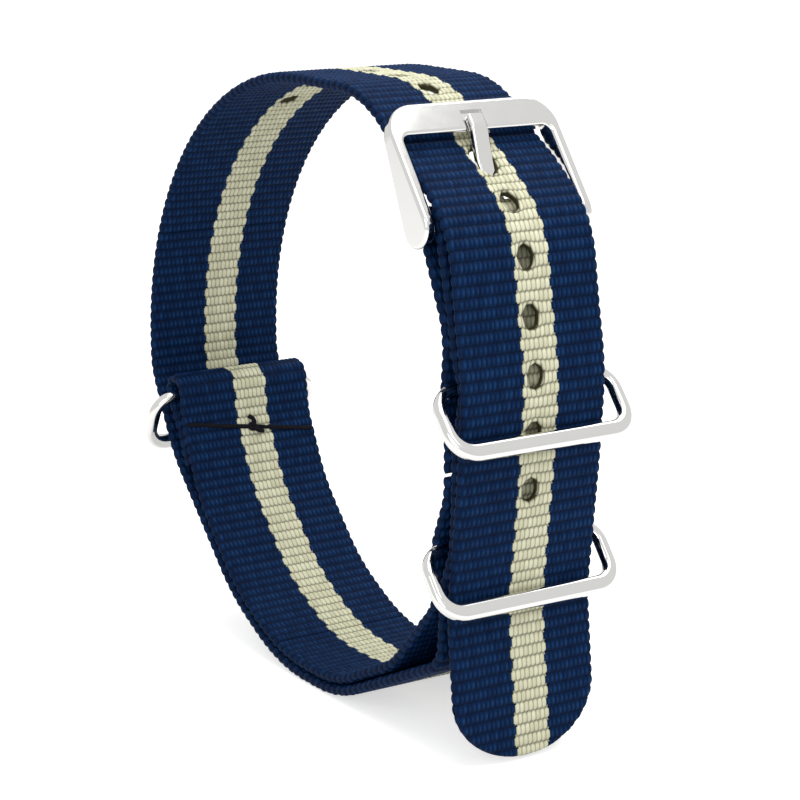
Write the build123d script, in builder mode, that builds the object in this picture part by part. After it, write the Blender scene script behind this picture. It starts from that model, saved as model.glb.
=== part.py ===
from build123d import *
import math
import os

os.makedirs("parts", exist_ok=True)

# A woven watch strap, buckled into a ring that stands on its lowest stretch and on its own tail.
# Millimetres. X runs across the webbing, -Y is the front with the tail, +Z is up.
# A route is a list of corners in the plane of the ring. Each is written as a share of the ring's
# depth, a share of its height and a share of its smaller side for the bend's radius.

# Webbing
webbing_width = 18.0
webbing_thickness = 1.25
ply_gap = 0.15
tip_length = 7.2
hole_width = 2.1
hole_length = 2.6
hole_pitch = 6.1
holes_past_prong = 7
holes_before_prong = 6

# Ring, between the middle lines of the webbing
ring_depth = 67.1
ring_height = 69.05
ring_set_back = 2.155

# Buckle
arm_gap = 0.3
arm_thickness = 1.3
arm_end_radius = 2.2
band_height = 3.6
band_thickness = 1.1
band_reach = 11.6
groove_depth = 0.4
groove_margin = 0.35
frame_tilt = 27.6
frame_corner_radius = 3.6
window_corner_radius = 0.9
frame_edge_round = 0.4
frame_front_round = 0.4
bar_radius = 0.75
bar_skin = 0.5
bar_set_in = 0.15
bar_fit = 0.05
fold_gap = 0.12

# Tongue
tongue_width = 2.0
tongue_thickness = 0.9
knuckle_wall = 0.6
knuckle_slack = 0.35
tongue_rest_gap = 0.1
tip_overlap = 2.0
prong_side_slack = 0.3
prong_end_slack = 0.65
prong_hole_corner = 0.9
prong_bend = 2.0
prong_reach = 6.3
prong_set_out = 0.3
tongue_edge_round = 0.3

# Keepers
keeper_side_gap = 1.3
keeper_pitch = 7.1
keeper_thickness = 1.4
keeper_front_width = 2.0
keeper_side_width = 1.5
keeper_corner_radius = 3.4
keeper_window_radius = 1.6
keeper_edge_round = 0.62
keeper_gap = 0.3
pocket_gap = 0.28
end_pocket_gap = 0.36
end_pocket_slack = 0.45
upper_keeper_shift = 0.1
lower_keeper_shift = 0.25
end_keeper_shift = 0.15

# Thread
thread_radius = 0.2
thread_gap = 0.04
stitch_length = 2.0
stitch_margin = 1.5

# Places in the plane of the ring
bar_share = (-0.427, 0.815)
upper_keeper_share = (-0.492, 0.579)
lower_keeper_share = (-0.467, 0.328)
end_keeper_share = (0.414, 0.396)
butt_share = 0.54

# The long piece of webbing, from the bar down the front and round the ring
front_run_shares = [
    (-0.488, 0.677, 0.10),
    (-0.494, 0.637, 0.05),
    (-0.519, 0.579, 0.07),
    (-0.499, 0.490, 0.08),
    (-0.4985, 0.411, 0.10),
    (-0.4935, 0.330, 0.06),
    (-0.469, 0.272, 0.05),
    (-0.467, 0.2315, 0.06),
    (-0.460, 0.1415, 0.055),
]
base_run_shares = [
    (-0.148, 0.0, 0.28),
    (0.044, 0.0, 0.36),
    (0.208, 0.081, 0.36),
]
back_run_shares = [
    (0.421, 0.288, 0.29),
    (0.500, 0.434, 0.12),
    (0.500, 1.0, 0.53),
    (-0.239, 1.0, 0.22),
    (-0.338, 0.9235, 0.10),
    (-0.388, 0.894, 0.12),
]
tail_run_shares = [
    (-0.497, 0.8165, 0.17),
    (-0.5405, 0.592, 0.36),
    (-0.5285, 0.440, 0.36),
    (-0.505, 0.237, 0.36),
    (-0.531, -0.005, 0.0),
]

# The short piece of webbing, where it leaves the long one at the front and at the back
lift_off_share = 0.42
lift_off_radius_share = 0.17
short_back_shares = [
    (0.321, 0.2256, 0.29),
    (0.381, 0.345, 0.09),
]
fold_end_share = 0.52
upper_seam_share = 0.50
middle_seam_shares = (0.27, 0.80)
lower_seam_share = 0.50
end_seam_share = 0.70


def place(shares):
    """The point of the ring's plane, as (y, z), at shares of the ring's depth and height."""
    return (ring_set_back + shares[0] * ring_depth, half_thickness + shares[1] * ring_height)


def corners(run_shares):
    return [place(corner) for corner in run_shares]


def radii(run_shares):
    return [corner[2] * ring_side for corner in run_shares]


def along(start, end, share):
    """The point at a share of the way between two points."""
    return tuple(a + share * (b - a) for a, b in zip(start, end))


def toward(start, end):
    """The unit direction from one point to another."""
    reach = math.dist(start, end)
    return ((end[0] - start[0]) / reach, (end[1] - start[1]) / reach)


def dot(first, second):
    return first[0] * second[0] + first[1] * second[1]


def moved(point, direction, distance, left=0.0):
    """The point moved along a unit direction, and to that direction's left."""
    return (
        point[0] + distance * direction[0] - left * direction[1],
        point[1] + distance * direction[1] + left * direction[0],
    )


def beside(before, corner, after, distance):
    """The corner of a route that runs a distance to the left of the route through three points."""
    first = toward(before, corner)
    second = toward(corner, after)
    turn = 1 + dot(first, second)
    across = -(first[1] + second[1]) / turn
    up = (first[0] + second[0]) / turn
    return (corner[0] + distance * across, corner[1] + distance * up)


def touch(point, centre, radius, side):
    """Where a line from the point touches a circle, on its left for side 1 and its right for -1."""
    reach = math.dist(point, centre)
    heading = math.atan2(centre[1] - point[1], centre[0] - point[0])
    swing = side * math.asin(radius / reach)
    run = math.sqrt(reach**2 - radius**2)
    return (point[0] + run * math.cos(heading + swing), point[1] + run * math.sin(heading + swing))


def far_point(centre, radius, start):
    """The point of a circle that lies straight away from a point."""
    return moved(centre, toward(start, centre), radius)


def plane_at(point, direction):
    """A plane square to a direction of the ring's plane, with its X across the webbing."""
    return Plane(
        origin=(0, point[0], point[1]),
        x_dir=(1, 0, 0),
        z_dir=(0, direction[0], direction[1]),
    )


def left_of(direction):
    return (-direction[1], direction[0])


half_thickness = webbing_thickness / 2
ring_side = min(ring_depth, ring_height)
frame_width = webbing_width + 2 * (arm_gap + arm_thickness)
keeper_width = webbing_width + 2 * (keeper_side_gap + keeper_side_width)
ply_step = webbing_thickness + ply_gap
pocket_step = keeper_thickness / 2 + pocket_gap + half_thickness
end_pocket_step = keeper_thickness / 2 + end_pocket_gap + half_thickness
fold_radius = bar_radius + fold_gap + half_thickness
overrun = webbing_width

bar_centre = place(bar_share)
upper_pivot = place(upper_keeper_share)
lower_pivot = place(lower_keeper_share)
end_pivot = place(end_keeper_share)
end_fold_centre = (end_pivot[0], end_pivot[1] + end_pocket_slack)
front = corners(front_run_shares)
base = corners(base_run_shares)
back = corners(back_run_shares)
tail = corners(tail_run_shares)
butt = along(front[3], front[4], butt_share)

# The long piece: its turned-back leg, the fold round the bar, the ring and the tail
leg = [
    (butt[0] + ply_step, butt[1] + ply_gap),
    (front[3][0] + ply_step, front[3][1]),
    (upper_pivot[0] + pocket_step, upper_pivot[1]),
    (front[1][0] + ply_step, front[1][1]),
    (front[0][0] + ply_step, front[0][1]),
]
leg_radii = radii(front_run_shares[:4])[::-1]
long_corners = front + base + back + tail
long_radii = radii(front_run_shares + base_run_shares + back_run_shares + tail_run_shares)[:-1]
leg_touch = touch(leg[-1], bar_centre, fold_radius, -1)
front_touch = touch(front[0], bar_centre, fold_radius, 1)

with BuildLine(Plane.YZ) as long_route:
    FilletPolyline(*leg, leg_touch, radius=leg_radii)
    ThreePointArc(leg_touch, far_point(bar_centre, fold_radius, front[0]), front_touch)
    FilletPolyline(front_touch, *long_corners, radius=long_radii)
long_wire = long_route.wires()[0]

# The short piece: the inner ply at the front, the ring's floor and the fold over its own keeper
lift_off = moved(
    along(front[-1], base[0], lift_off_share), toward(front[-1], base[0]), 0, ply_step
)
short_back = corners(short_back_shares)
short_corners = [
    (butt[0] + ply_step, butt[1] - ply_gap),
    (front[4][0] + ply_step, front[4][1]),
    (lower_pivot[0] + pocket_step, lower_pivot[1]),
    (front[6][0] + ply_step, front[6][1]),
    (front[7][0] + ply_step, front[7][1]),
    lift_off,
    beside(front[-1], base[0], base[1], ply_step),
    beside(base[0], base[1], base[2], ply_step),
    beside(base[1], base[2], back[0], ply_step),
    *short_back,
]
short_radii = (
    radii(front_run_shares[4:8])
    + [lift_off_radius_share * ring_side]
    + [radius - ply_step for radius in radii(base_run_shares)]
    + radii(short_back_shares)
)
rise_touch = touch(short_back[-1], end_fold_centre, end_pocket_step, 1)
turn_corner = beside(short_back[0], short_back[1], rise_touch, -ply_step)
fall_touch = touch(turn_corner, end_fold_centre, end_pocket_step, -1)
ply_end = moved(
    along(short_back[1], short_back[0], fold_end_share),
    toward(short_back[0], short_back[1]),
    0,
    -ply_step,
)

with BuildLine(Plane.YZ) as short_route:
    FilletPolyline(*short_corners, rise_touch, radius=short_radii)
    fold_top = far_point(end_fold_centre, end_pocket_step, short_back[-1])
    ThreePointArc(rise_touch, fold_top, fall_touch)
    FilletPolyline(fall_touch, turn_corner, ply_end, radius=radii(short_back_shares)[1])
short_wire = short_route.wires()[0]


def on_wire(wire, distance):
    """The point and direction, in the ring's plane, at a distance back from the wire's end."""
    share = 1 - distance / wire.length
    point = wire.position_at(share)
    direction = wire.tangent_at(share)
    return (point.Y, point.Z), (direction.Y, direction.Z)


def prong_distance():
    """How far back from the tail's tip the webbing lies at the prong's reach from the bar."""
    low = sum(math.dist(a, b) for a, b in zip(tail, tail[1:])) - prong_reach
    high = low + ring_depth / 2
    while high - low > bar_fit * bar_fit:
        middle = (low + high) / 2
        if math.dist(on_wire(long_wire, middle)[0], bar_centre) < prong_reach:
            low = middle
        else:
            high = middle
    return low


def face_plane(wire, distance):
    """The plane of the webbing at a distance back from the wire's end, Y along it."""
    point, direction = on_wire(wire, distance)
    return plane_at(point, left_of(direction))


# Seams: the plane in the middle of both plies, from a point of the outer ply's middle line
def seam_plane(start, end, share):
    direction = toward(start, end)
    middle = moved(along(start, end, share), direction, 0, ply_step / 2)
    return plane_at(middle, left_of(direction))


seams = {
    "upper_seam": [seam_plane(front[0], front[1], upper_seam_share)],
    "middle_seam": [seam_plane(front[3], front[4], share) for share in middle_seam_shares],
    "lower_seam": [seam_plane(front[6], front[7], lower_seam_share)],
    "end_fold_seam": [seam_plane(ply_end, turn_corner, end_seam_share)],
}
stitch_count = int((webbing_width - 2 * stitch_margin) / stitch_length) + 1
stack_reach = ply_step / 2 + half_thickness + thread_radius + thread_gap
hole_radius = thread_radius + thread_gap


def needle_holes(*planes):
    """A row of pins, one row on each plane, to cut the needle holes through both plies."""
    with BuildPart() as pins:
        with BuildSketch(*planes):
            with GridLocations(stitch_length, 0, stitch_count, 1):
                Circle(hole_radius)
        extrude(amount=stack_reach, both=True)
    return pins.part


def disc_across(centre, radius, width):
    """A round solid about an axis across the webbing."""
    with BuildPart() as disc:
        with BuildSketch(Plane.YZ):
            with Locations(centre):
                Circle(radius)
        extrude(amount=width / 2, both=True)
    return disc.part


# Buckle. Its own directions run "up" from the bar to the band and "out" away from the wrist.
frame_up = (math.sin(math.radians(frame_tilt)), math.cos(math.radians(frame_tilt)))
band_top = band_reach + band_height / 2
outline_length = band_top + arm_end_radius + overrun
window_width = frame_width - 2 * arm_thickness
bar_seat = frame_width - 2 * bar_skin


def in_frame(up, out):
    """The point of the ring's plane at distances up and out from the bar."""
    return moved(bar_centre, frame_up, up, out)


# The front face runs in one flat slope from the round ends of the arms to the top of the band
face_top = in_frame(band_top, 0)
face_touch = touch(face_top, bar_centre, arm_end_radius, -1)
face_up = toward(face_touch, face_top)


def on_face(up, out):
    """The point of the ring's plane, from the face's top edge up along the face and out of it."""
    return moved(face_top, face_up, up, out)


# The prong runs from the knuckle through a hole of the tail and bends to lie on the band
rest_out = tongue_rest_gap + tongue_thickness / 2 - groove_depth
tip_centre = on_face(tip_overlap - tongue_thickness / 2 - band_height, rest_out)
prong_bend_point = on_face(-band_height, rest_out)
knuckle_point = in_frame(0, prong_set_out)
prong_at = prong_distance()
prong_point, prong_direction = on_wire(long_wire, prong_at)
prong_line = toward(knuckle_point, prong_point)
prong_slope = abs(dot(prong_line, prong_direction))
prong_rise = math.sqrt(1 - prong_slope**2)
prong_hole_length = (
    (tongue_thickness + webbing_thickness * prong_slope) / prong_rise + 2 * prong_end_slack
)


knuckle_radius = bar_radius + bar_fit + knuckle_wall
slot_width = tongue_width + 2 * knuckle_slack
slot_radius = fold_radius + half_thickness + ply_gap / 2
hole_planes = [
    face_plane(long_wire, prong_at + step * hole_pitch)
    for step in range(-holes_before_prong, holes_past_prong + 1)
    if step
]

with BuildPart() as long_strap:
    with BuildSketch(plane_at(leg[0], toward(leg[0], leg[1]))):
        Rectangle(webbing_width, webbing_thickness)
    sweep(path=long_wire)
    with BuildSketch(face_plane(long_wire, tip_length)):
        with Locations((0, tip_length)):
            Rectangle(webbing_width + overrun, 2 * tip_length)
        with Locations((0, 0)):
            Ellipse(webbing_width / 2, tip_length, mode=Mode.SUBTRACT)
    extrude(amount=webbing_thickness, both=True, mode=Mode.SUBTRACT)
    with BuildSketch(*hole_planes):
        Ellipse(hole_width / 2, hole_length / 2)
    extrude(amount=webbing_thickness, both=True, mode=Mode.SUBTRACT)
    with BuildSketch(face_plane(long_wire, prong_at)):
        RectangleRounded(tongue_width + 2 * prong_side_slack, prong_hole_length, prong_hole_corner)
    extrude(amount=webbing_thickness, both=True, mode=Mode.SUBTRACT)
    add(disc_across(bar_centre, slot_radius, slot_width), mode=Mode.SUBTRACT)
    add(needle_holes(*seams["upper_seam"]), mode=Mode.SUBTRACT)
    add(needle_holes(*seams["middle_seam"], *seams["lower_seam"]), mode=Mode.SUBTRACT)
long_strap.part.label = "long_strap"
export_step(long_strap.part, "parts/long_strap.step")

with BuildPart() as short_strap:
    with BuildSketch(plane_at(short_corners[0], toward(short_corners[0], short_corners[1]))):
        Rectangle(webbing_width, webbing_thickness)
    sweep(path=short_wire)
    add(needle_holes(*seams["middle_seam"], *seams["lower_seam"]), mode=Mode.SUBTRACT)
    add(needle_holes(*seams["end_fold_seam"]), mode=Mode.SUBTRACT)
short_strap.part.label = "short_strap"
export_step(short_strap.part, "parts/short_strap.step")

# Buckle
def shows_outside(edge):
    """Whether an edge borders the frame's front, or the flat side of a round arm end."""
    middle = edge.center()
    place_of = (middle.Y - face_top[0], middle.Z - face_top[1])
    at_front = dot(place_of, left_of(face_up)) > -band_thickness / 2
    on_arm = dot(place_of, face_up) < -band_height
    across_arms = abs(middle.X) < arm_thickness
    round_end = edge.geom_type == GeomType.CIRCLE
    return (at_front and not (on_arm and across_arms)) or (on_arm and round_end)


def borders_window(edge):
    """Whether an edge runs round the window on the frame's front face."""
    middle = edge.center()
    place_of = (middle.Y - face_top[0], middle.Z - face_top[1])
    on_front = abs(dot(place_of, left_of(face_up))) < bar_fit
    return on_front and abs(middle.X) < window_width / 2 + bar_fit


with BuildPart() as buckle_frame:
    with BuildSketch(Plane.YZ):
        with Locations(bar_centre):
            Circle(arm_end_radius)
        with BuildLine():
            Polyline(
                face_top,
                on_face(0, -band_thickness),
                on_face(-band_height, -band_thickness),
                close=True,
            )
        make_face()
        make_hull()
    extrude(amount=frame_width / 2, both=True)
    with BuildSketch(plane_at(face_top, left_of(face_up))):
        with Locations((0, -outline_length / 2)):
            RectangleRounded(frame_width, outline_length, frame_corner_radius)
    extrude(amount=overrun, both=True, mode=Mode.INTERSECT)
    fillet(buckle_frame.edges().filter_by(shows_outside), radius=frame_front_round)
    with BuildSketch(plane_at(face_top, left_of(face_up))):
        with Locations((0, -(band_height + outline_length) / 2)):
            RectangleRounded(window_width, outline_length - band_height, window_corner_radius)
    extrude(amount=overrun, both=True, mode=Mode.SUBTRACT)
    fillet(buckle_frame.edges().filter_by(borders_window), radius=frame_edge_round)
    with BuildSketch(plane_at(on_face(0, -band_thickness), face_up)):
        with Locations((0, overrun / 2)):
            Rectangle(window_width, overrun)
    extrude(amount=overrun, both=True, mode=Mode.SUBTRACT)
    with BuildSketch(plane_at(on_face(tip_overlap + groove_margin - band_height, 0), face_up)):
        Rectangle(tongue_width + 2 * groove_margin, 2 * groove_depth)
    extrude(amount=-overrun, mode=Mode.SUBTRACT)
    add(disc_across(bar_centre, bar_radius, bar_seat), mode=Mode.SUBTRACT)
buckle_frame.part.label = "buckle_frame"
export_step(buckle_frame.part, "parts/buckle_frame.step")

with BuildPart() as buckle_bar:
    add(disc_across(bar_centre, bar_radius, bar_seat - 2 * bar_set_in))
    chamfer(buckle_bar.edges(), length=bar_set_in)
buckle_bar.part.label = "buckle_bar"
export_step(buckle_bar.part, "parts/buckle_bar.step")

# Tongue: a knuckle round the bar and a prong that crosses the tail through one of its holes
bore_length = 2 * math.pi * (bar_radius + bar_fit)

with BuildPart() as buckle_tongue:
    with BuildSketch(Plane.YZ):
        with BuildLine():
            FilletPolyline(
                knuckle_point,
                prong_point,
                prong_bend_point,
                tip_centre,
                radius=prong_bend,
            )
        trace(line_width=tongue_thickness)
        with Locations(bar_centre):
            Circle(knuckle_radius)
            Circle(bar_radius + bar_fit, mode=Mode.SUBTRACT)
    extrude(amount=tongue_width / 2, both=True)
    side_edges = buckle_tongue.faces().filter_by(Axis.X).edges()
    fillet(
        side_edges.filter_by(lambda edge: abs(edge.length - bore_length) > bar_fit),
        radius=tongue_edge_round,
    )
buckle_tongue.part.label = "buckle_tongue"
export_step(buckle_tongue.part, "parts/buckle_tongue.step")


# Keepers: each hangs from the bar in its pocket until its front bar meets the webbing
keeper_half_bar = (keeper_thickness + keeper_front_width) / 4
keeper_stand_off = half_thickness + keeper_gap + keeper_half_bar


def hang_direction(pivot, upper, lower, side):
    """The direction from a keeper's pivot to its front bar, which rests beside a run of webbing.

    Side 1 is the left of the run as it goes down, and -1 is its right.
    """
    run = toward(upper, lower)
    outward = (side * left_of(run)[0], side * left_of(run)[1])
    depth = dot((pivot[0] - upper[0], pivot[1] - upper[1]), outward)
    reach = (keeper_stand_off - depth) / keeper_pitch
    fall = math.sqrt(1 - reach**2)
    return (reach * outward[0] + fall * run[0], reach * outward[1] + fall * run[1])


def keeper_ring(pivot, hang, shift):
    """A flat wire ring, its inner bar on the pivot and its front bar along the hang direction.

    It hangs a little to the left of the webbing's middle, by the shift.
    """
    back_edge = -keeper_thickness / 2
    front_edge = keeper_pitch + keeper_front_width / 2
    window_back = keeper_thickness / 2
    window_front = keeper_pitch - keeper_front_width / 2
    with BuildPart() as ring:
        with BuildSketch(plane_at(pivot, left_of(hang))):
            with Locations((-shift, (back_edge + front_edge) / 2)):
                RectangleRounded(keeper_width, front_edge - back_edge, keeper_corner_radius)
            with Locations((-shift, (window_back + window_front) / 2)):
                RectangleRounded(
                    keeper_width - 2 * keeper_side_width,
                    window_front - window_back,
                    keeper_window_radius,
                    mode=Mode.SUBTRACT,
                )
        extrude(amount=keeper_thickness / 2, both=True)
        flats = ring.faces().filter_by(Axis((0, 0, 0), (0, *left_of(hang))))
        fillet(flats.edges(), radius=keeper_edge_round)
    return ring.part


upper_hang = hang_direction(upper_pivot, tail[1], tail[2], -1)
lower_hang = hang_direction(lower_pivot, tail[2], tail[3], -1)
end_hang = hang_direction(end_pivot, back[1], back[0], 1)
keepers = {
    "upper_keeper": (upper_pivot, upper_hang, upper_keeper_shift),
    "lower_keeper": (lower_pivot, lower_hang, lower_keeper_shift),
    "end_keeper": (end_pivot, end_hang, end_keeper_shift),
}
for name, (pivot, hang, shift) in keepers.items():
    keeper = keeper_ring(pivot, hang, shift)
    keeper.label = name
    export_step(keeper, f"parts/{name}.step")


# Thread
def running_stitch(plane):
    """The corners of a thread that goes through both plies at each needle hole."""
    across = [(step - (stitch_count - 1) / 2) * stitch_length for step in range(stitch_count)]
    side = stack_reach
    route = [(across[0] - stitch_length / 2, side)]
    for place_across in across:
        route += [(place_across, side), (place_across, -side)]
        side = -side
    route.append((across[-1] + stitch_length / 2, side))
    return route


for name, planes in seams.items():
    with BuildPart() as seam:
        for plane in planes:
            section = Plane(origin=plane.origin, x_dir=plane.x_dir, z_dir=-plane.y_dir)
            route = running_stitch(plane)
            with BuildLine(section) as thread:
                FilletPolyline(*route, radius=thread_radius + thread_gap)
            start = Plane(origin=thread.line @ 0, x_dir=plane.y_dir, z_dir=plane.x_dir)
            with BuildSketch(start):
                Circle(thread_radius)
            sweep(path=thread.wires()[0])
    seam.part.label = name
    export_step(seam.part, f"parts/{name}.step")

print("long piece, bar to tip", round(long_wire.length - math.dist(leg[0], leg_touch), 1))
print("long piece", round(long_wire.length, 1), "short piece", round(short_wire.length, 1))
print("prong hole", round(prong_hole_length, 2), "from the tip", round(prong_at, 1))
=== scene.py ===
"""A striped pull-through watch strap of ribbed webbing, buckled into a ring, with its steel fittings.

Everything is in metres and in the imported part's frame: X across the webbing, -Y to the front with the
buckle and the tail, +Z up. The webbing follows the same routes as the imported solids.
"""

import math

import bpy
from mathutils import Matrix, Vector


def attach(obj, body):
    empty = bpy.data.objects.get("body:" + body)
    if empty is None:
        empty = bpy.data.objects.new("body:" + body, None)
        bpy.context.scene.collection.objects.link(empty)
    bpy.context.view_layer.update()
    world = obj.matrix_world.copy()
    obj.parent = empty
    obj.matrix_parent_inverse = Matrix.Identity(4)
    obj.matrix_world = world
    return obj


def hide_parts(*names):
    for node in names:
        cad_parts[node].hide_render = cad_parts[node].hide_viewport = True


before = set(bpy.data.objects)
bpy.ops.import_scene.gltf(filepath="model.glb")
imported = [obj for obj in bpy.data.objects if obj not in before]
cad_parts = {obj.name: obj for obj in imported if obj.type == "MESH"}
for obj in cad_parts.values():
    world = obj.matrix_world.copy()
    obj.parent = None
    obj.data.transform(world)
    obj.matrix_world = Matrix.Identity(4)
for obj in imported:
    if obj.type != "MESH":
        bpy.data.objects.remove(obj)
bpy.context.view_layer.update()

MM = 0.001

# Webbing
WIDTH = 18.0 * MM
THICKNESS = 1.25 * MM
HALF = THICKNESS / 2
PLY_GAP = 0.15 * MM
PLY_STEP = THICKNESS + PLY_GAP
TIP_LENGTH = 7.2 * MM
NO_TIP_LENGTH = 0.001 * MM
RIB = 1.2 * MM
YARN = 0.58 * MM
RELIEF = 0.30 * MM
EDGE_RADIUS = 0.5 * MM
SCALLOP = 0.11 * MM
SWAY_AT_PRONG = -0.15 * MM
SWAY_ON_TAIL = -0.60 * MM
STRIPE_CENTRE = 0.6 * MM
STRIPE_WIDTH = 4.2 * MM
SWAY_RUN = 2 * WIDTH
SWAY_PITCHES = 3
MERGE_WITHIN = 0.012 * MM

# Weave. A float's sizes are in yarns across and in ribs along. Between two rows its height falls by
# one share, and painted shade darkens it by another.
COLUMNS_PER_YARN = 4
ROWS_PER_RIB = 6
FLOAT_HALF_WIDTH = 0.56
FLOAT_HALF_LENGTH = 0.80
FLOAT_SLANT = 0.16
HEIGHT_FALL_SHARE = 0.62
HEIGHT_FALL_POWER = 2.4
SHADE_FALL_SHARE = 0.36
SHADE_FALL_POWER = 3
# Share of painted shade where the faces round off at the edges and ends; round a hole it is whole
EDGE_SHADE_SHARE = 0.25

# Loops of the weft at the webbing's edges: how far in they reach, then their swing and their
# set-back in shares of the scallop
EDGE_LOOP_DEPTH = 0.9 * MM
EDGE_LOOP_SWING_SHARE = 1.6
EDGE_LOOP_SET_BACK_SHARE = 1.1

# Numbers that tell the floats apart, so that each draws its own lot of yarn
ABOVE_ZERO = 64
ROW_MARK = 61
SIDE_MARK = 7
LOT_SEED = 11

# Nearly nothing, for comparisons and for divisions that must not be by zero
TINY = 0.0001
LEAST_REACH = 0.001

# Seam of the end fold
THREAD_RADIUS = 0.28 * MM
STITCH_LENGTH = 2.1 * MM
STITCH_DIP = 0.24 * MM
SEAM_REACH = 8.3 * MM
SEAM_SLANT = math.radians(-9)
SEAM_STEPS = 160
SEAM_END_SHARE = 0.3
DIP_NARROWNESS = 1.6
THREAD_SIDES = 10
THREAD_SINK = 0.02 * MM
KNOT_AT = 0.2 * MM
KNOT_RADIUS = 0.34 * MM
KNOT_LIFT = 0.1 * MM
KNOT_RISE = 0.012 * MM
KNOT_POINTS = 25
KNOT_POINTS_PER_TURN = 12

# The thread's two ends from the knot on, as millimetres across, up and out
THREAD_ENDS = [
    [(0.1, 0.1, 0.30), (0.25, 0.55, 0.42), (0.15, 1.0, 0.40), (-0.15, 1.35, 0.22)],
    [(0.0, -0.1, 0.30), (0.45, -0.45, 0.38), (0.85, -0.6, 0.36), (1.25, -0.55, 0.18)],
]

# Punched holes
HOLE_PITCH = 6.1 * MM
HOLES_PAST_PRONG = 7
HOLES_BEFORE_PRONG = 6
HOLE_HALF_WIDTH = 0.92 * MM
HOLE_HALF_LENGTH = 1.2 * MM
NO_HOLE_AT = -WIDTH
PRONG_FROM_TIP = 66.1 * MM

# The yarns round a hole, in shares of its half sizes: they part within the first distance and lie
# undisturbed past the second. The prong's hole is wider and longer, and disturbs them less far.
HOLE_OPENED_SHARE = 0.62
HOLE_CALM_SHARE = 2.3
PRONG_WIDER_SHARE = 0.32
PRONG_LONGER_SHARE = 0.7
PRONG_CALMER_SHARE = 0.85

# Ring, buckle and keepers, as in the solids
RING_DEPTH = 67.1 * MM
RING_HEIGHT = 69.05 * MM
RING_SET_BACK = 2.155 * MM
BAR_RADIUS = 0.75 * MM
FOLD_GAP = 0.12 * MM
KEEPER_THICKNESS = 1.4 * MM
POCKET_GAP = 0.28 * MM
END_POCKET_GAP = 0.36 * MM
FOLD_RADIUS = BAR_RADIUS + FOLD_GAP + HALF
POCKET_STEP = KEEPER_THICKNESS / 2 + POCKET_GAP + HALF
END_POCKET_STEP = KEEPER_THICKNESS / 2 + END_POCKET_GAP + HALF
END_POCKET_SLACK = 0.45 * MM
RING_SIDE = min(RING_DEPTH, RING_HEIGHT)

# Corners of the routes: shares of the ring's depth and height, and of its smaller side for the radius
BAR_SHARE = (-0.427, 0.815)
UPPER_KEEPER_SHARE = (-0.492, 0.579)
LOWER_KEEPER_SHARE = (-0.467, 0.328)
END_KEEPER_SHARE = (0.414, 0.396)
BUTT_SHARE = 0.54
FRONT_SHARES = [
    (-0.488, 0.677, 0.10),
    (-0.494, 0.637, 0.05),
    (-0.519, 0.579, 0.07),
    (-0.499, 0.490, 0.08),
    (-0.4985, 0.411, 0.10),
    (-0.4935, 0.330, 0.06),
    (-0.469, 0.272, 0.05),
    (-0.467, 0.2315, 0.06),
    (-0.460, 0.1415, 0.055),
]
BASE_SHARES = [(-0.148, 0.0, 0.28), (0.044, 0.0, 0.36), (0.208, 0.081, 0.36)]
BACK_SHARES = [
    (0.421, 0.288, 0.29),
    (0.500, 0.434, 0.12),
    (0.500, 1.0, 0.53),
    (-0.239, 1.0, 0.22),
    (-0.338, 0.9235, 0.10),
    (-0.388, 0.894, 0.12),
]
TAIL_SHARES = [
    (-0.497, 0.8165, 0.17),
    (-0.5405, 0.592, 0.36),
    (-0.5285, 0.440, 0.36),
    (-0.505, 0.237, 0.36),
    (-0.531, -0.005, 0.0),
]
LIFT_OFF_SHARE = 0.42
LIFT_OFF_RADIUS_SHARE = 0.17
SHORT_BACK_SHARES = [(0.321, 0.2256, 0.29), (0.381, 0.345, 0.09)]
FOLD_END_SHARE = 0.52
END_SEAM_SHARE = 0.70

# Fineness of the routes
ARC_STEP = math.radians(3)
RUN_STEP = 0.8 * MM

# Each piece of webbing is woven in lengths, laid end to end: their names, and the share of the
# whole at which each one ends
LONG_END_SHARES = [
    ("long_strap_front", 0.19),
    ("long_strap_base", 0.38),
    ("long_strap_back", 0.57),
    ("long_strap_top", 0.768),
    ("long_strap_tail", 1.0),
]
SHORT_END_SHARES = [("short_strap_front", 0.5), ("short_strap_back", 1.0)]

# Linear colours. A pair is the darkest and the lightest lot of yarn.
NAVY = ((0.0012, 0.011, 0.045, 1), (0.0025, 0.019, 0.070, 1))
# Painted highlight: a lighter navy, in the darkest and the lightest lot, for the tops of the navy
# floats
HIGHLIGHT_NAVY = ((0.004, 0.027, 0.098, 1), (0.010, 0.048, 0.150, 1))
CREAM = ((0.62, 0.61, 0.43, 1), (0.74, 0.73, 0.54, 1))
# Painted shade down between the floats, in the navy and in the cream
GAP_SHADE_IN_NAVY = (0.0006, 0.0028, 0.011, 1)
GAP_SHADE_IN_CREAM = (0.035, 0.032, 0.014, 1)
BLACK_THREAD = ((0.003, 0.003, 0.005, 1), (0.016, 0.016, 0.022, 1))
NAVY_THREAD = ((0.004, 0.016, 0.07, 1), (0.008, 0.03, 0.12, 1))
STEEL = (0.65, 0.645, 0.63, 1)
PAPER = (0.8, 0.8, 0.8, 1)
WHITE = (1, 1, 1, 1)

# Where the painted highlight starts on a navy float's top, and where the painted shade between the
# floats gives way to the yarn's own colour, and how fast
HIGHLIGHT_FROM = 0.82
HIGHLIGHT_RATE = 5
GAP_SHADE_UP_TO = 0.33
GAP_SHADE_RATE = 2.7

# Filaments per metre, across and along the webbing
FILAMENTS_ACROSS = 9000
FILAMENTS_ALONG = 1800

# Solids that the scene shows as they are
STEEL_NODES = [
    "buckle_frame",
    "buckle_bar",
    "buckle_tongue",
    "upper_keeper",
    "lower_keeper",
    "end_keeper",
]
NAVY_SEAM_NODES = ["upper_seam", "middle_seam", "lower_seam"]

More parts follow.
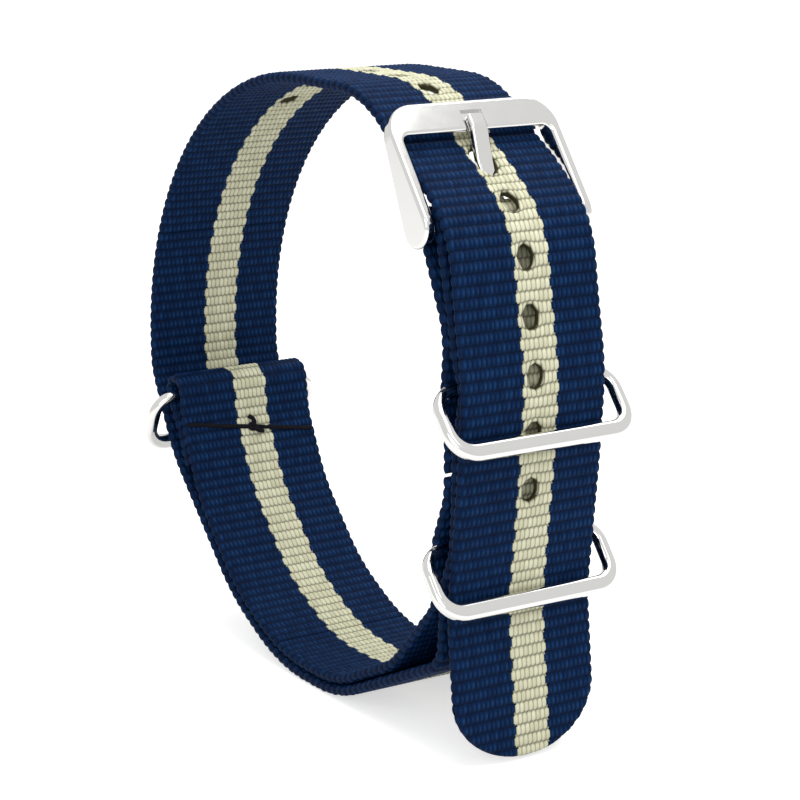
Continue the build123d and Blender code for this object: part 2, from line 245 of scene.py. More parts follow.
# Studio, with the lamps' power in watts, and the camera's lens and sensor in millimetres
FLOOR_SIZE = 6.0
FLOOR_GLOW = 0.6
ROOM_LIGHT = 0.55
AIM = (0, 0, 0.03)
CAMERA_AT = (-142.81 * MM, -227.5 * MM, 96.8 * MM)
CAMERA_AZIMUTH = math.radians(33)
CAMERA_ELEVATION = math.radians(13.5)
CAMERA_LENS = 108
CAMERA_SENSOR = 36


# Points of the ring's plane, as (y, z)
def place(shares):
    return (RING_SET_BACK + shares[0] * RING_DEPTH, HALF + shares[1] * RING_HEIGHT)


def corners(run):
    return [place(corner) for corner in run]


def radii(run):
    return [corner[2] * RING_SIDE for corner in run]


def along(start, end, share):
    return tuple(a + share * (b - a) for a, b in zip(start, end))


def toward(start, end):
    reach = math.dist(start, end)
    return ((end[0] - start[0]) / reach, (end[1] - start[1]) / reach)


def moved(point, direction, distance, left=0.0):
    return (
        point[0] + distance * direction[0] - left * direction[1],
        point[1] + distance * direction[1] + left * direction[0],
    )


def beside(before, corner, after, distance):
    """The corner of a route that runs a distance to the left of the route through three points."""
    first = toward(before, corner)
    second = toward(corner, after)
    turn = 1 + first[0] * second[0] + first[1] * second[1]
    return (
        corner[0] - distance * (first[1] + second[1]) / turn,
        corner[1] + distance * (first[0] + second[0]) / turn,
    )


def touch(point, centre, radius, side):
    """Where a line from the point touches a circle, on its left (1) or its right (-1)."""
    reach = math.dist(point, centre)
    heading = math.atan2(centre[1] - point[1], centre[0] - point[0])
    swing = side * math.asin(radius / reach)
    run = math.sqrt(reach**2 - radius**2)
    return (point[0] + run * math.cos(heading + swing), point[1] + run * math.sin(heading + swing))


def arc_points(centre, radius, start, sweep):
    steps = max(2, math.ceil(abs(sweep) / ARC_STEP))
    return [
        (
            centre[0] + radius * math.cos(start + sweep * i / steps),
            centre[1] + radius * math.sin(start + sweep * i / steps),
        )
        for i in range(steps + 1)
    ]


def rounded(points, rounds):
    """Points along straight runs joined by tangent arcs, one radius for each inner corner."""
    line = [points[0]]
    for before, corner, after, radius in zip(points, points[1:], points[2:], rounds):
        first, second = toward(before, corner), toward(corner, after)
        cross = first[0] * second[1] - first[1] * second[0]
        turn = math.atan2(cross, first[0] * second[0] + first[1] * second[1])
        side = 1 if turn > 0 else -1
        start = moved(corner, first, -radius * math.tan(abs(turn) / 2))
        centre = moved(start, first, 0, side * radius)
        heading = math.atan2(start[1] - centre[1], start[0] - centre[0])
        line += arc_points(centre, radius, heading, turn)
    return line + [points[-1]]


def wrapped(start, centre, radius, end, side):
    """Points round a circle from one point to another, to its left (1) or its right (-1)."""
    first = math.atan2(start[1] - centre[1], start[0] - centre[0])
    last = math.atan2(end[1] - centre[1], end[0] - centre[0])
    sweep = (last - first) % (2 * math.pi)
    return arc_points(centre, radius, first, sweep if side > 0 else sweep - 2 * math.pi)


def evened(line):
    """The line with points at most RUN_STEP apart and no doubles."""
    out = [line[0]]
    for point in line[1:]:
        reach = math.dist(out[-1], point)
        if reach < RUN_STEP / 100:
            continue
        steps = math.ceil(reach / RUN_STEP)
        start = out[-1]
        out += [along(start, point, i / steps) for i in range(1, steps + 1)]
    return out


def length_of(line):
    return sum(math.dist(a, b) for a, b in zip(line, line[1:]))


bar_centre = place(BAR_SHARE)
upper_pivot = place(UPPER_KEEPER_SHARE)
lower_pivot = place(LOWER_KEEPER_SHARE)
end_pivot = place(END_KEEPER_SHARE)
end_fold_centre = (end_pivot[0], end_pivot[1] + END_POCKET_SLACK)
front = corners(FRONT_SHARES)
base = corners(BASE_SHARES)
back = corners(BACK_SHARES)
butt = along(front[3], front[4], BUTT_SHARE)


def long_route():
    """The long piece: its turned-back leg, the fold round the bar, the ring and the tail."""
    leg = [
        (butt[0] + PLY_STEP, butt[1] + PLY_GAP),
        (front[3][0] + PLY_STEP, front[3][1]),
        (upper_pivot[0] + POCKET_STEP, upper_pivot[1]),
        (front[1][0] + PLY_STEP, front[1][1]),
        (front[0][0] + PLY_STEP, front[0][1]),
    ]
    leg_touch = touch(leg[-1], bar_centre, FOLD_RADIUS, -1)
    front_touch = touch(front[0], bar_centre, FOLD_RADIUS, 1)
    line = rounded(leg + [leg_touch], radii(FRONT_SHARES[:4])[::-1])
    line += wrapped(leg_touch, bar_centre, FOLD_RADIUS, front_touch, 1)
    shares = FRONT_SHARES + BASE_SHARES + BACK_SHARES + TAIL_SHARES
    line += rounded([front_touch] + corners(shares), radii(shares)[:-1])
    return evened(line)


def short_route():
    """The short piece: the inner ply at the front, the ring's floor and the fold over its keeper.

    It also gives the two ends of the straight run that the end seam goes through.
    """
    lift_off = moved(
        along(front[-1], base[0], LIFT_OFF_SHARE), toward(front[-1], base[0]), 0, PLY_STEP
    )
    short_back = corners(SHORT_BACK_SHARES)
    points = [
        (butt[0] + PLY_STEP, butt[1] - PLY_GAP),
        (front[4][0] + PLY_STEP, front[4][1]),
        (lower_pivot[0] + POCKET_STEP, lower_pivot[1]),
        (front[6][0] + PLY_STEP, front[6][1]),
        (front[7][0] + PLY_STEP, front[7][1]),
        lift_off,
        beside(front[-1], base[0], base[1], PLY_STEP),
        beside(base[0], base[1], base[2], PLY_STEP),
        beside(base[1], base[2], back[0], PLY_STEP),
        *short_back,
    ]
    rounds = radii(FRONT_SHARES[4:8]) + [LIFT_OFF_RADIUS_SHARE * RING_SIDE]
    rounds += [radius - PLY_STEP for radius in radii(BASE_SHARES)] + radii(SHORT_BACK_SHARES)
    rise_touch = touch(short_back[-1], end_fold_centre, END_POCKET_STEP, 1)
    turn_corner = beside(short_back[0], short_back[1], rise_touch, -PLY_STEP)
    fall_touch = touch(turn_corner, end_fold_centre, END_POCKET_STEP, -1)
    ply_end = moved(
        along(short_back[1], short_back[0], FOLD_END_SHARE),
        toward(short_back[0], short_back[1]),
        0,
        -PLY_STEP,
    )
    line = rounded(points + [rise_touch], rounds)
    line += wrapped(rise_touch, end_fold_centre, END_POCKET_STEP, fall_touch, -1)
    line += rounded([fall_touch, turn_corner, ply_end], radii(SHORT_BACK_SHARES)[1:])
    return evened(line), ply_end, turn_corner


# Node trees
class Number:
    """A number or vector socket that plain arithmetic can be written with."""

    def __init__(self, tree, socket):
        self.tree = tree
        self.socket = socket

    def __add__(self, other):
        return self.tree.math("ADD", self, other)

    def __radd__(self, other):
        return self.tree.math("ADD", other, self)

    def __sub__(self, other):
        return self.tree.math("SUBTRACT", self, other)

    def __rsub__(self, other):
        return self.tree.math("SUBTRACT", other, self)

    def __mul__(self, other):
        return self.tree.math("MULTIPLY", self, other)

    def __rmul__(self, other):
        return self.tree.math("MULTIPLY", other, self)

    def __truediv__(self, other):
        return self.tree.math("DIVIDE", self, other)

    def __pow__(self, other):
        return self.tree.math("POWER", self, other)

    def __lt__(self, other):
        return self.tree.math("LESS_THAN", self, other)

    def __gt__(self, other):
        return self.tree.math("GREATER_THAN", self, other)


class Tree:
    """A node tree with short calls for the nodes that the strap needs."""

    def __init__(self, tree):
        self.tree = tree

    def add(self, kind, **settings):
        node = self.tree.nodes.new(kind)
        for name, value in settings.items():
            setattr(node, name, value)
        return node

    def join(self, value, socket):
        if isinstance(value, Number):
            value = value.socket
        if isinstance(value, bpy.types.NodeSocket):
            self.tree.links.new(value, socket)
        else:
            socket.default_value = value

    def run(self, kind, inputs, output=0, **settings):
        """Adds a node, joins its inputs by name or number and gives one of its outputs."""
        node = self.add(kind, **settings)
        for name, value in inputs.items():
            self.join(value, node.inputs[name])
        return Number(self, node.outputs[output])

    def math(self, operation, *values):
        return self.run("ShaderNodeMath", dict(enumerate(values)), operation=operation)

    def vector(self, operation, *values):
        output = 1 if operation == "DOT_PRODUCT" else 0
        return self.run(
            "ShaderNodeVectorMath", dict(enumerate(values)), output, operation=operation
        )

    def scaled(self, vector, factor):
        return self.run("ShaderNodeVectorMath", {0: vector, "Scale": factor}, operation="SCALE")

    def combine(self, x, y, z):
        return self.run("ShaderNodeCombineXYZ", {0: x, 1: y, 2: z})

    def split(self, vector):
        """A vector's three parts as numbers."""
        node = self.add("ShaderNodeSeparateXYZ")
        self.join(vector, node.inputs[0])
        return [Number(self, socket) for socket in node.outputs]

    def clamp(self, value, low=0.0, high=1.0):
        return self.run("ShaderNodeClamp", {"Value": value, "Min": low, "Max": high})

    def named(self, name):
        return self.run("GeometryNodeInputNamedAttribute", {"Name": name}, data_type="FLOAT")

    def store(self, geometry, name, value, domain="POINT"):
        return self.run(
            "GeometryNodeStoreNamedAttribute",
            {"Geometry": geometry, "Name": name, "Value": value},
            data_type="FLOAT",
            domain=domain,
        )


def geometry_tree(name, inputs):
    """A Geometry Nodes tree with named inputs, and its inputs as numbers."""
    group = bpy.data.node_groups.new(name, "GeometryNodeTree")
    group.interface.new_socket("Geometry", in_out="INPUT", socket_type="NodeSocketGeometry")
    for label, kind in inputs:
        group.interface.new_socket(label, in_out="INPUT", socket_type=f"NodeSocket{kind}")
    group.interface.new_socket("Geometry", in_out="OUTPUT", socket_type="NodeSocketGeometry")
    tree = Tree(group)
    source = tree.add("NodeGroupInput")
    sockets = {socket.name: Number(tree, socket) for socket in source.outputs if socket.name}
    return tree, sockets


def finish_tree(tree, geometry, material):
    geometry = tree.run("GeometryNodeRealizeInstances", {"Geometry": geometry})
    geometry = tree.run("GeometryNodeSetMaterial", {"Geometry": geometry, "Material": material})
    output = tree.add("NodeGroupOutput")
    tree.join(geometry, output.inputs[0])


def grow(name, carrier_mesh, group, values):
    """A plain mesh object: what a tree makes of a line of points and its named inputs."""
    carrier = bpy.data.objects.new(name + "_line", carrier_mesh)
    bpy.context.scene.collection.objects.link(carrier)
    modifier = carrier.modifiers.new("grow", "NODES")
    modifier.node_group = group
    for item in group.interface.items_tree:
        if item.in_out == "INPUT" and item.name in values:
            modifier[item.identifier] = values[item.name]
    bpy.context.view_layer.update()
    evaluated = carrier.evaluated_get(bpy.context.evaluated_depsgraph_get())
    mesh = bpy.data.meshes.new_from_object(evaluated)
    mesh.name = name
    bpy.data.objects.remove(carrier)
    piece = bpy.data.objects.new(name, mesh)
    bpy.context.scene.collection.objects.link(piece)
    return piece


def line_mesh(name, line):
    mesh = bpy.data.meshes.new(name)
    points = [(0.0, y, z) for y, z in line]
    mesh.from_pydata(points, [(i, i + 1) for i in range(len(points) - 1)], [])
    return mesh


WEBBING_INPUTS = [
    ("From", "Float"),
    ("To", "Float"),
    ("Length", "Float"),
    ("Width", "Float"),
    ("Thickness", "Float"),
    ("Columns", "Int"),
    ("Rows", "Int"),
    ("Rib", "Float"),
    ("Yarn", "Float"),
    ("Relief", "Float"),
    ("Edge Radius", "Float"),
    ("Scallop", "Float"),
    ("Tip Length", "Float"),
    ("Prong Hole At", "Float"),
    ("Hole Pitch", "Float"),
    ("Holes Before", "Float"),
    ("Holes Past", "Float"),
    ("Hole Half Width", "Float"),
    ("Hole Half Length", "Float"),
    ("Stripe Centre", "Float"),
    ("Stripe Width", "Float"),
    ("Sway Start", "Float"),
    ("Sway At Prong", "Float"),
    ("Sway On Tail", "Float"),
    ("Material", "Material"),
]


def flat_faces(tree, given):
    """Both faces of the webbing, laid flat: each point keeps its side and its place in the weave.

    A row past each end closes the webbing there. The length of one row is given too.
    """
    run = given["To"] - given["From"]
    row = run / given["Rows"]
    grid = tree.run(
        "GeometryNodeMeshGrid",
        {
            "Size X": given["Width"],
            "Size Y": run + 2 * row,
            "Vertices X": given["Columns"] + 1,
            "Vertices Y": given["Rows"] + 3,
        },
    )
    inner = tree.store(grid, "side", 1.0)
    outer = tree.store(tree.run("GeometryNodeFlipFaces", {"Mesh": grid}), "side", -1.0)
    both = tree.add("GeometryNodeJoinGeometry")
    tree.join(inner, both.inputs[0])
    tree.join(outer, both.inputs[0])
    x, y, _ = tree.split(tree.run("GeometryNodeInputPosition", {}))
    geometry = tree.store(both.outputs[0], "across", x)
    return tree.store(geometry, "along", y + run / 2 + given["From"]), row


def pushed_by_holes(tree, given, across, flat_along):
    """Where the yarns lie round the punched holes, which push them outwards.

    Gives the place across and along, the distance to a hole, and what is near one and in one.
    """
    pitches = tree.math("ROUND", (flat_along - given["Prong Hole At"]) / given["Hole Pitch"])
    step = tree.clamp(pitches, 0 - given["Holes Past"], given["Holes Before"])
    hole_at = given["Prong Hole At"] + step * given["Hole Pitch"]
    at_prong = tree.math("ABSOLUTE", step) < 0.5
    half_width = given["Hole Half Width"] * (1 + PRONG_WIDER_SHARE * at_prong)
    half_length = given["Hole Half Length"] * (1 + PRONG_LONGER_SHARE * at_prong)
    hole_x = across / half_width
    hole_y = (flat_along - hole_at) / half_length
    reach = tree.math("SQRT", hole_x * hole_x + hole_y * hole_y)
    opened = HOLE_OPENED_SHARE
    calm = HOLE_CALM_SHARE - PRONG_CALMER_SHARE * at_prong
    fade = tree.clamp((reach - opened) / (calm - opened))
    pushed = tree.math("MAXIMUM", reach, opened) + (1 - opened) * (1 - fade) ** 2
    scale = pushed / tree.math("MAXIMUM", reach, LEAST_REACH)
    near_hole = reach < calm
    real_across = across + near_hole * (across * scale - across)
    real_along = flat_along + near_hole * ((flat_along - hole_at) * (scale - 1))
    to_hole = (pushed - 1) * given["Hole Half Width"] + (reach > calm) * given["Width"]
    return real_across, real_along, to_hole, near_hole, reach < opened


def woven_floats(tree, given, across, flat_along, side):
    """Rows of floats: each is longer than its row and lies between two floats of the next row.

    Gives, for the float that is on top, its height, its painted shade (darker down its dome and
    between the rows), its middle and its mark, and how high the rib is there.
    """
    row_at = flat_along / given["Rib"]
    own_row = tree.math("FLOOR", row_at + TINY)
    row_phase = row_at - own_row - 0.5

    def float_at(row, phase):
        """The float of one row that crosses a point: its dome there, its middle and its mark."""
        odd_row = tree.math("MODULO", row + ABOVE_ZERO, 2.0)
        shift = 0.5 * odd_row + 0.25 * (1 - side) + FLOAT_SLANT * phase + ABOVE_ZERO
        yarn_at = across / given["Yarn"] + shift
        yarn = tree.math("FLOOR", yarn_at)
        sideways = (yarn_at - yarn - 0.5) / FLOAT_HALF_WIDTH
        lengthwise = phase / FLOAT_HALF_LENGTH
        dome = 1 - lengthwise * lengthwise - sideways * sideways
        middle = across + (yarn + 0.5 - yarn_at) * given["Yarn"]
        return dome, middle, row * ROW_MARK + yarn + side * SIDE_MARK

    to_next = tree.math("SIGN", row_phase)
    dome, middle, mark = float_at(own_row, row_phase)
    next_dome, next_middle, next_mark = float_at(own_row + to_next, row_phase - to_next)
    over = next_dome > dome
    dome = tree.math("MAXIMUM", dome, next_dome)
    middle = middle + over * (next_middle - middle)
    mark = mark + over * (next_mark - mark)
    between_rows = tree.math("ABSOLUTE", row_phase * 2)
    crest = 1 - HEIGHT_FALL_SHARE * between_rows**HEIGHT_FALL_POWER
    rise = tree.math("SQRT", tree.clamp(dome))
    # Painted shade: each float darker down its dome, and a dark band between the rows
    shade = rise * (1 - SHADE_FALL_SHARE * between_rows**SHADE_FALL_POWER)
    return rise * crest, shade, middle, mark, crest


def edge_rounding(tree, given, across, flat_along, to_hole):
    """How far the faces part: 0 on an edge, an end or a hole's rim, and 1 well inside them."""
    half_width = given["Width"] / 2
    to_side = half_width - tree.math("ABSOLUTE", across)
    tip_start = given["Length"] - given["Tip Length"]
    tip_y = tree.math("MAXIMUM", (flat_along - tip_start) / given["Tip Length"], 0.0)
    tip_x = across / half_width
    tip_reach = tree.math("SQRT", tip_x * tip_x + tip_y * tip_y)
    before_tip = tip_y < TINY
    to_tip = tree.math("MAXIMUM", 1 - tip_reach, 0.0) * half_width + before_tip * given["Width"]
    has_tip = given["Tip Length"] > MM
    to_far_end = given["Length"] - flat_along + has_tip * given["Width"]
    to_end = tree.math("MINIMUM", flat_along, to_far_end)
    to_outline = tree.math("MINIMUM", to_side, to_tip)
    nearest = tree.math("MINIMUM", to_outline, tree.math("MINIMUM", to_end, to_hole))
    fall = 1 - tree.clamp(nearest / given["Edge Radius"])
    return tree.math("SQRT", tree.clamp(1 - fall * fall))


def within_tip(tree, given, across, real_along):
    """What lies past the outline of the rounded tip falls back onto it."""
    tip_x = across / (given["Width"] / 2)
    tip_start = given["Length"] - given["Tip Length"]
    outline = tip_start + given["Tip Length"] * tree.math("SQRT", tree.clamp(1 - tip_x * tip_x))
    no_tip = given["Tip Length"] < MM
    return tree.math("MINIMUM", real_along, outline + no_tip * given["Width"])


def swayed(tree, given, real_across, flat_along):
    """The tail lies a little to the left of the rest."""

    def eased(start, end, value):
        share = tree.clamp((flat_along - start) / (end - start))
        return share * share * (3 - 2 * share) * value

    prong_hole = given["Prong Hole At"]
    past_prong = prong_hole + SWAY_PITCHES * given["Hole Pitch"]
    real_across = real_across + eased(given["Sway Start"], prong_hole, given["Sway At Prong"])
    return real_across + eased(prong_hole, past_prong, given["Sway On Tail"])


def edge_loops(tree, given, across, crest):
    """How far the loops of the weft stand out at the webbing's edges, one on each rib."""
    to_side = given["Width"] / 2 - tree.math("ABSOLUTE", across)
    at_side = tree.clamp(1 - to_side / EDGE_LOOP_DEPTH)
    loop = given["Scallop"] * (EDGE_LOOP_SWING_SHARE * crest - EDGE_LOOP_SET_BACK_SHARE)
    return tree.math("SIGN", across) * at_side * loop


def coloured(tree, given, geometry, middle, mark):
    """Keeps on the faces which floats are cream, and the lot of yarn that each one is from."""
    striped = tree.math("ABSOLUTE", middle - given["Stripe Centre"]) < given["Stripe Width"] / 2
    geometry = tree.store(geometry, "stripe", striped, "FACE")
    lot = tree.run(
        "FunctionNodeRandomValue",
        {2: 0.0, 3: 1.0, "ID": tree.math("ROUND", mark), "Seed": LOT_SEED},
        1,
        data_type="FLOAT",
    )
    return tree.store(geometry, "lot", lot, "FACE")


def onto_line(tree, given, geometry):
    """Carries the flat weave onto the line that it is given."""
    line = tree.run("GeometryNodeMeshToCurve", {"Mesh": given["Geometry"]})
    sample = tree.add("GeometryNodeSampleCurve", mode="LENGTH")
    tree.join(line, sample.inputs["Curves"])
    tree.join(tree.named("real_along"), sample.inputs["Length"])
    normal = tree.vector("CROSS_PRODUCT", (1.0, 0.0, 0.0), sample.outputs["Tangent"])
    lift = tree.scaled(normal, tree.named("height"))
    sideways = tree.combine(tree.named("real_across"), 0.0, 0.0)
    spot = tree.vector("ADD", sample.outputs["Position"], sideways)
    position = tree.vector("ADD", spot, lift)
    return tree.run("GeometryNodeSetPosition", {"Geometry": geometry, "Position": position})


def webbing_tree():
    """Ribbed webbing along a line: both faces of the weave, joined at the edges, ends and holes."""
    tree, given = geometry_tree("webbing", WEBBING_INPUTS)
    geometry, row = flat_faces(tree, given)
    across, wide_along, side = tree.named("across"), tree.named("along"), tree.named("side")
    flat_along = tree.clamp(wide_along, given["From"], given["To"])
    past = tree.math("ABSOLUTE", wide_along - flat_along) > row / 2

    real_across, real_along, to_hole, near_hole, in_hole = pushed_by_holes(
        tree, given, across, flat_along
    )
    rise, shade, middle, mark, crest = woven_floats(tree, given, across, flat_along, side)
    rounding = edge_rounding(tree, given, across, flat_along, to_hole)
    rounding = rounding * (1 - past) * (1 - in_hole)
    height = side * rounding * (given["Thickness"] / 2 - given["Relief"] * (1 - rise))
    # Painted shade where the faces round off: a share of it at the edges and ends, all of it round the
    # holes
    rim_painted_shade = (1 - rounding) * (EDGE_SHADE_SHARE + (1 - EDGE_SHADE_SHARE) * near_hole)
    real_along = within_tip(tree, given, across, real_along)
    real_across = swayed(tree, given, real_across, flat_along)
    real_across = real_across + edge_loops(tree, given, across, crest) * (1 - past)

    geometry = tree.store(geometry, "height", height)
    # Painted light for the material: the floats' painted shade, with more painted shade at edges and
    # holes
    geometry = tree.store(geometry, "painted_light", shade * (1 - rim_painted_shade))
    geometry = tree.store(geometry, "real_across", real_across)
    geometry = tree.store(geometry, "real_along", real_along)
    geometry = tree.store(geometry, "hollow", in_hole)
    geometry = coloured(tree, given, geometry, middle, mark)
    geometry = tree.run(
        "GeometryNodeDeleteGeometry",
        {"Geometry": geometry, "Selection": tree.named("hollow") > 0.99},
        domain="FACE",
    )
    geometry = onto_line(tree, given, geometry)
    geometry = tree.run(
        "GeometryNodeMergeByDistance", {"Geometry": geometry, "Distance": MERGE_WITHIN}
    )
    for name in ("side", "height", "real_across", "real_along", "hollow"):
        geometry = tree.run("GeometryNodeRemoveAttribute", {"Geometry": geometry, "Name": name})
    finish_tree(tree, geometry, given["Material"])
    return tree.tree


STITCH_INPUTS = [
    ("Thread Radius", "Float"),
    ("Stitch Length", "Float"),
    ("Dip", "Float"),
    ("Reach", "Float"),
    ("Centre", "Vector"),
    ("Normal", "Vector"),
    ("Material", "Material"),
]


def stitching_tree():
    """A round thread along its lines, which dips into the webbing at each needle hole of the seam."""
    tree, given = geometry_tree("stitching", STITCH_INPUTS)
    spot = tree.run("GeometryNodeInputPosition", {})
    across = tree.split(spot)[0]
    beat = across / given["Stitch Length"]
    off = tree.math("ABSOLUTE", beat - tree.math("ROUND", beat)) * 2
    within = tree.math("ABSOLUTE", across) < given["Reach"]
    near = tree.clamp(1 - off * DIP_NARROWNESS) ** 2 * within
    from_centre = tree.vector("SUBTRACT", spot, given["Centre"])
    side = tree.math("SIGN", tree.vector("DOT_PRODUCT", from_centre, given["Normal"]))
    push = tree.scaled(given["Normal"], 0 - side * near * given["Dip"])
    geometry = tree.run("GeometryNodeSetPosition", {"Geometry": given["Geometry"], "Offset": push})
    line = tree.run("GeometryNodeMeshToCurve", {"Mesh": geometry})
    ring = tree.run(
        "GeometryNodeCurvePrimitiveCircle",
        {"Resolution": THREAD_SIDES, "Radius": given["Thread Radius"]},
    )
    tube = tree.run(
        "GeometryNodeCurveToMesh", {"Curve": line, "Profile Curve": ring, "Fill Caps": True}
    )
    finish_tree(tree, tube, given["Material"])
    return tree.tree


def end_stitching(run_from, run_to):
    """The seam of the end fold: a thread on both sides of the plies, with a knot and its two ends."""
    run = toward(run_from, run_to)
    middle = moved(along(run_from, run_to, END_SEAM_SHARE), run, 0, PLY_STEP / 2)
    normal = (-run[1], run[0])
    face = PLY_STEP / 2 + HALF - THREAD_SINK

    def spot(across, up, out):
        point = moved(middle, run, up + across * math.tan(SEAM_SLANT), out)
        return (across, point[0], point[1])

    def knot_spot(i):
        turn = 2 * math.pi * i / KNOT_POINTS_PER_TURN
        across = KNOT_AT + KNOT_RADIUS * math.cos(turn)
        return spot(across, KNOT_RADIUS * math.sin(turn), face + KNOT_LIFT + KNOT_RISE * i)

    xs = [SEAM_REACH * (2 * i / SEAM_STEPS - 1) for i in range(SEAM_STEPS + 1)]
    points = [spot(x, 0, face) for x in xs] + [spot(x, 0, -face) for x in reversed(xs)]
    edges = [(i, (i + 1) % len(points)) for i in range(len(points))]
    lines = [[knot_spot(i) for i in range(KNOT_POINTS)]]
    for end in THREAD_ENDS:
        lines.append([spot(KNOT_AT + x * MM, up * MM, face + out * MM) for x, up, out in end])
    for line in lines:
        first = len(points)
        points += line
        edges += [(first + i, first + i + 1) for i in range(len(line) - 1)]
    mesh = bpy.data.meshes.new("end_stitching_line")
    mesh.from_pydata(points, edges, [])
    values = {
        "Thread Radius": THREAD_RADIUS,
        "Stitch Length": STITCH_LENGTH,
        "Dip": STITCH_DIP,
        "Reach": SEAM_REACH - SEAM_END_SHARE * STITCH_LENGTH,
        "Centre": (0.0, middle[0], middle[1]),
        "Normal": (0.0, normal[0], normal[1]),
        "Material": black_thread,
    }
    piece = grow("end_fold_stitching", mesh, stitching_tree(), values)
    piece.data.shade_smooth()
    return piece


def material_tree(name):
    material = bpy.data.materials.new(name)
    material.use_nodes = True
    shader = material.node_tree.nodes["Principled BSDF"]
    return material, Tree(material.node_tree), shader


def mixed(tree, factor, first, second):
    node = tree.add("ShaderNodeMix", data_type="RGBA")
    tree.join(factor, node.inputs[0])
    tree.join(first, node.inputs[6])
    tree.join(second, node.inputs[7])
    return Number(tree, node.outputs[2])


def read(tree, name):
    return tree.run("ShaderNodeAttribute", {}, "Fac", attribute_name=name)


def woven_material():
    """Nylon yarn: navy or cream by the float, with painted shade down between floats and ribs, a
    painted highlight on navy float tops, and fine filaments.
    """
    material, tree, shader = material_tree("woven_nylon")
    stripe, painted_light, lot = read(tree, "stripe"), read(tree, "painted_light"), read(tree, "lot")
    navy = mixed(tree, lot, *NAVY)
    painted_highlight = mixed(tree, lot, *HIGHLIGHT_NAVY)
    # Painted highlight on the high tops of the navy floats
    navy = mixed(tree, tree.clamp((painted_light - HIGHLIGHT_FROM) * HIGHLIGHT_RATE), navy, painted_highlight)
    colour = mixed(tree, stripe, navy, mixed(tree, lot, *CREAM))
    # Painted shade between the floats: where the painted light is low, the colour falls to the dark
    # shade
    gap_shade = mixed(tree, stripe, GAP_SHADE_IN_NAVY, GAP_SHADE_IN_CREAM)
    colour = mixed(tree, tree.clamp((painted_light - GAP_SHADE_UP_TO) * GAP_SHADE_RATE), gap_shade, colour)
    tree.join(colour, shader.inputs["Base Color"])
    shader.inputs["Roughness"].default_value = 0.62
    shader.inputs["Specular IOR Level"].default_value = 0.06
    weave_x = read(tree, "across") * FILAMENTS_ACROSS
    weave_y = read(tree, "along") * FILAMENTS_ALONG
    weave = tree.combine(weave_x, weave_y, 0.0)
    filament = tree.run("ShaderNodeTexNoise", {"Vector": weave, "Scale": 1.0, "Detail": 2.0}, "Fac")
    node = tree.add("ShaderNodeBump")
    tree.join(filament, node.inputs["Height"])
    node.inputs["Strength"].default_value = 0.25
    node.inputs["Distance"].default_value = 0.06 * MM
    tree.join(node.outputs[0], shader.inputs["Normal"])
    return material


def steel_material():
    """Polished stainless steel with faint rubbing marks."""
    material, tree, shader = material_tree("polished_steel")
    spot = tree.run("ShaderNodeTexCoord", {}, "Object")
    marks = tree.run("ShaderNodeTexNoise", {"Vector": spot, "Scale": 900.0, "Detail": 3.0}, "Fac")
    tree.join(0.07 + marks * 0.06, shader.inputs["Roughness"])
    shader.inputs["Metallic"].default_value = 1.0
    shader.inputs["Base Color"].default_value = STEEL
    node = tree.add("ShaderNodeBump")
    tree.join(marks, node.inputs["Height"])
    node.inputs["Strength"].default_value = 0.02
    node.inputs["Distance"].default_value = 0.02 * MM
    tree.join(node.outputs[0], shader.inputs["Normal"])
    return material


def thread_material(name, dark, light):
    """Sewing thread, lighter and darker along its fine twist."""
    material, tree, shader = material_tree(name)
    spot = tree.run("ShaderNodeTexCoord", {}, "Object")
    twist = tree.run("ShaderNodeTexNoise", {"Vector": spot, "Scale": 4000.0, "Detail": 2.0}, "Fac")
    tree.join(mixed(tree, twist, dark, light), shader.inputs["Base Color"])
    shader.inputs["Roughness"].default_value = 0.8
    shader.inputs["Specular IOR Level"].default_value = 0.05
    return material


woven = woven_material()
steel = steel_material()
black_thread = thread_material("black_thread", *BLACK_THREAD)
navy_thread = thread_material("navy_thread", *NAVY_THREAD)

# The webbing
long_line = long_route()
short_line, seam_from, seam_to = short_route()
long_length = length_of(long_line)
short_length = length_of(short_line)
prong_at = long_length - PRONG_FROM_TIP
webbing = webbing_tree()


def webbing_piece(name, line, length, start, end, punched):
    """A length of webbing from whole rib to whole rib. The punched piece has the tip and the sway."""
    ribs = round(length / RIB)
    rib = length / ribs
    first, last = round(start / rib), round(end / rib)
    values = {
        "From": first * rib,
        "To": last * rib,
        "Length": length,
        "Width": WIDTH,
        "Thickness": THICKNESS,
        "Columns": COLUMNS_PER_YARN * round(WIDTH / YARN),
        "Rows": ROWS_PER_RIB * (last - first),
        "Rib": rib,
        "Yarn": YARN,
        "Relief": RELIEF,
        "Edge Radius": EDGE_RADIUS,
        "Scallop": SCALLOP,
        "Tip Length": TIP_LENGTH if punched else NO_TIP_LENGTH,
        "Prong Hole At": prong_at if punched else NO_HOLE_AT,
        "Hole Pitch": HOLE_PITCH,
        "Holes Before": float(HOLES_BEFORE_PRONG) if punched else 0.0,
        "Holes Past": float(HOLES_PAST_PRONG) if punched else 0.0,
        "Hole Half Width": HOLE_HALF_WIDTH,
        "Hole Half Length": HOLE_HALF_LENGTH,
        "Stripe Centre": STRIPE_CENTRE,
        "Stripe Width": STRIPE_WIDTH,
        "Sway Start": prong_at - SWAY_RUN,
        "Sway At Prong": SWAY_AT_PRONG if punched else 0.0,
        "Sway On Tail": SWAY_ON_TAIL if punched else 0.0,
        "Material": woven,
    }
    piece = grow(name, line_mesh(name + "_route", line), webbing, values)
    piece.data.shade_smooth()
    return piece, (last - first) * rib


def laid(end_shares, line, length, punched, node):
    """One piece of webbing as several woven lengths, end to end, each up to a share of the whole."""
    start = 0.0
    for name, share in end_shares:
        piece, run = webbing_piece(name, line, length, start * length, share * length, punched)
        start = share
        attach(piece, "strap")
        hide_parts(node)


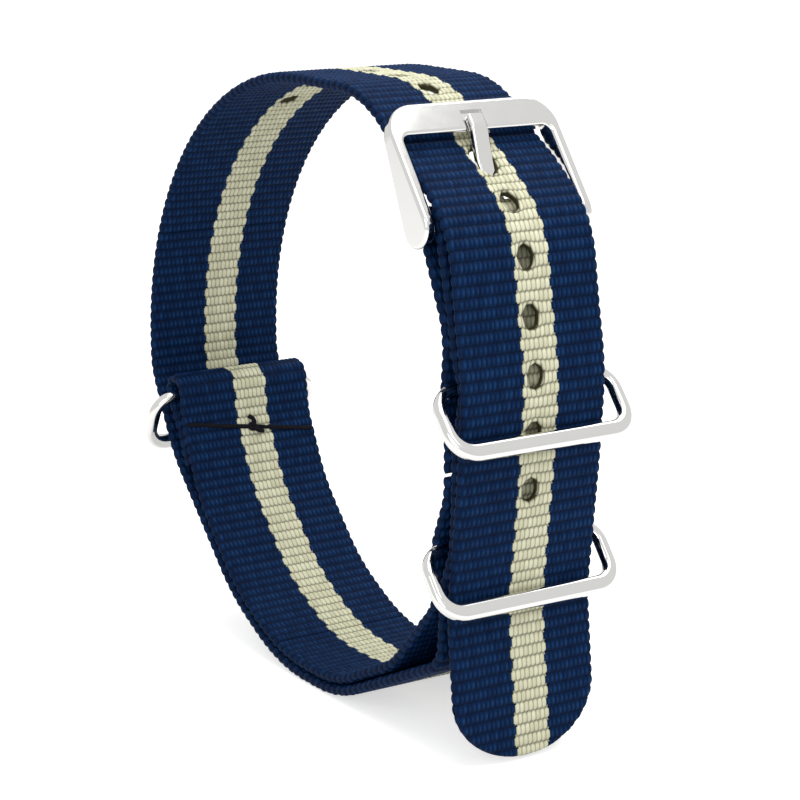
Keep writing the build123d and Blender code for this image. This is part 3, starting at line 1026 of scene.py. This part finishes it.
def finished(nodes, material):
    for node in nodes:
        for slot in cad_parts[node].material_slots:
            slot.material = material


laid(LONG_END_SHARES, long_line, long_length, True, "long_strap")
laid(SHORT_END_SHARES, short_line, short_length, False, "short_strap")
finished(STEEL_NODES, steel)
finished(NAVY_SEAM_NODES, navy_thread)
stitching = end_stitching(seam_from, seam_to)
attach(stitching, "strap")
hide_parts("end_fold_seam")


# Floor, background, lights and camera
def seen_directly(tree):
    """1 for a ray from the camera, off a mirror or through glass, and 0 for a ray that only lights."""
    path = tree.add("ShaderNodeLightPath")
    seen = tree.math("MAXIMUM", path.outputs["Is Camera Ray"], path.outputs["Is Glossy Ray"])
    return tree.math("MAXIMUM", seen, path.outputs["Is Transmission Ray"])


def stage():
    """A paper floor and a white room, both a little darker as lights than they look."""
    bpy.ops.mesh.primitive_plane_add(size=FLOOR_SIZE)
    floor = bpy.context.object
    floor.name = "floor"
    material, tree, shader = material_tree("paper_floor")
    shader.inputs["Base Color"].default_value = PAPER
    shader.inputs["Roughness"].default_value = 1.0
    shader.inputs["Specular IOR Level"].default_value = 0.0
    shader.inputs["Emission Color"].default_value = WHITE
    tree.join(seen_directly(tree) * FLOOR_GLOW, shader.inputs["Emission Strength"])
    floor.data.materials.append(material)

    world = bpy.data.worlds.new("studio")
    bpy.context.scene.world = world
    world.use_nodes = True
    tree = Tree(world.node_tree)
    background = world.node_tree.nodes["Background"]
    background.inputs["Color"].default_value = WHITE
    strength = ROOM_LIGHT + seen_directly(tree) * (1 - ROOM_LIGHT)
    tree.join(strength, background.inputs["Strength"])


def lamp(name, place_at, aim, size, power):
    data = bpy.data.lights.new(name, "AREA")
    data.shape = "RECTANGLE"
    data.size, data.size_y = size
    data.energy = power
    lamp_object = bpy.data.objects.new(name, data)
    bpy.context.scene.collection.objects.link(lamp_object)
    lamp_object.location = place_at
    direction = [b - a for a, b in zip(place_at, aim)]
    lamp_object.rotation_euler = Vector(direction).to_track_quat("-Z", "Y").to_euler()


stage()
lamp("top_softbox", (0.1, -0.05, 0.55), AIM, (0.7, 0.5), 2.6)
lamp("front_softbox", (-0.45, -0.5, 0.35), AIM, (0.4, 0.4), 1.6)

camera_data = bpy.data.cameras.new("camera")
camera_data.lens = CAMERA_LENS
camera_data.sensor_width = CAMERA_SENSOR
camera_data.clip_start = 0.01
camera = bpy.data.objects.new("camera", camera_data)
bpy.context.scene.collection.objects.link(camera)
camera.location = CAMERA_AT
camera.rotation_euler = (math.pi / 2 - CAMERA_ELEVATION, 0, -CAMERA_AZIMUTH)
bpy.context.scene.camera = camera
bpy.context.scene.view_settings.view_transform = "Standard"
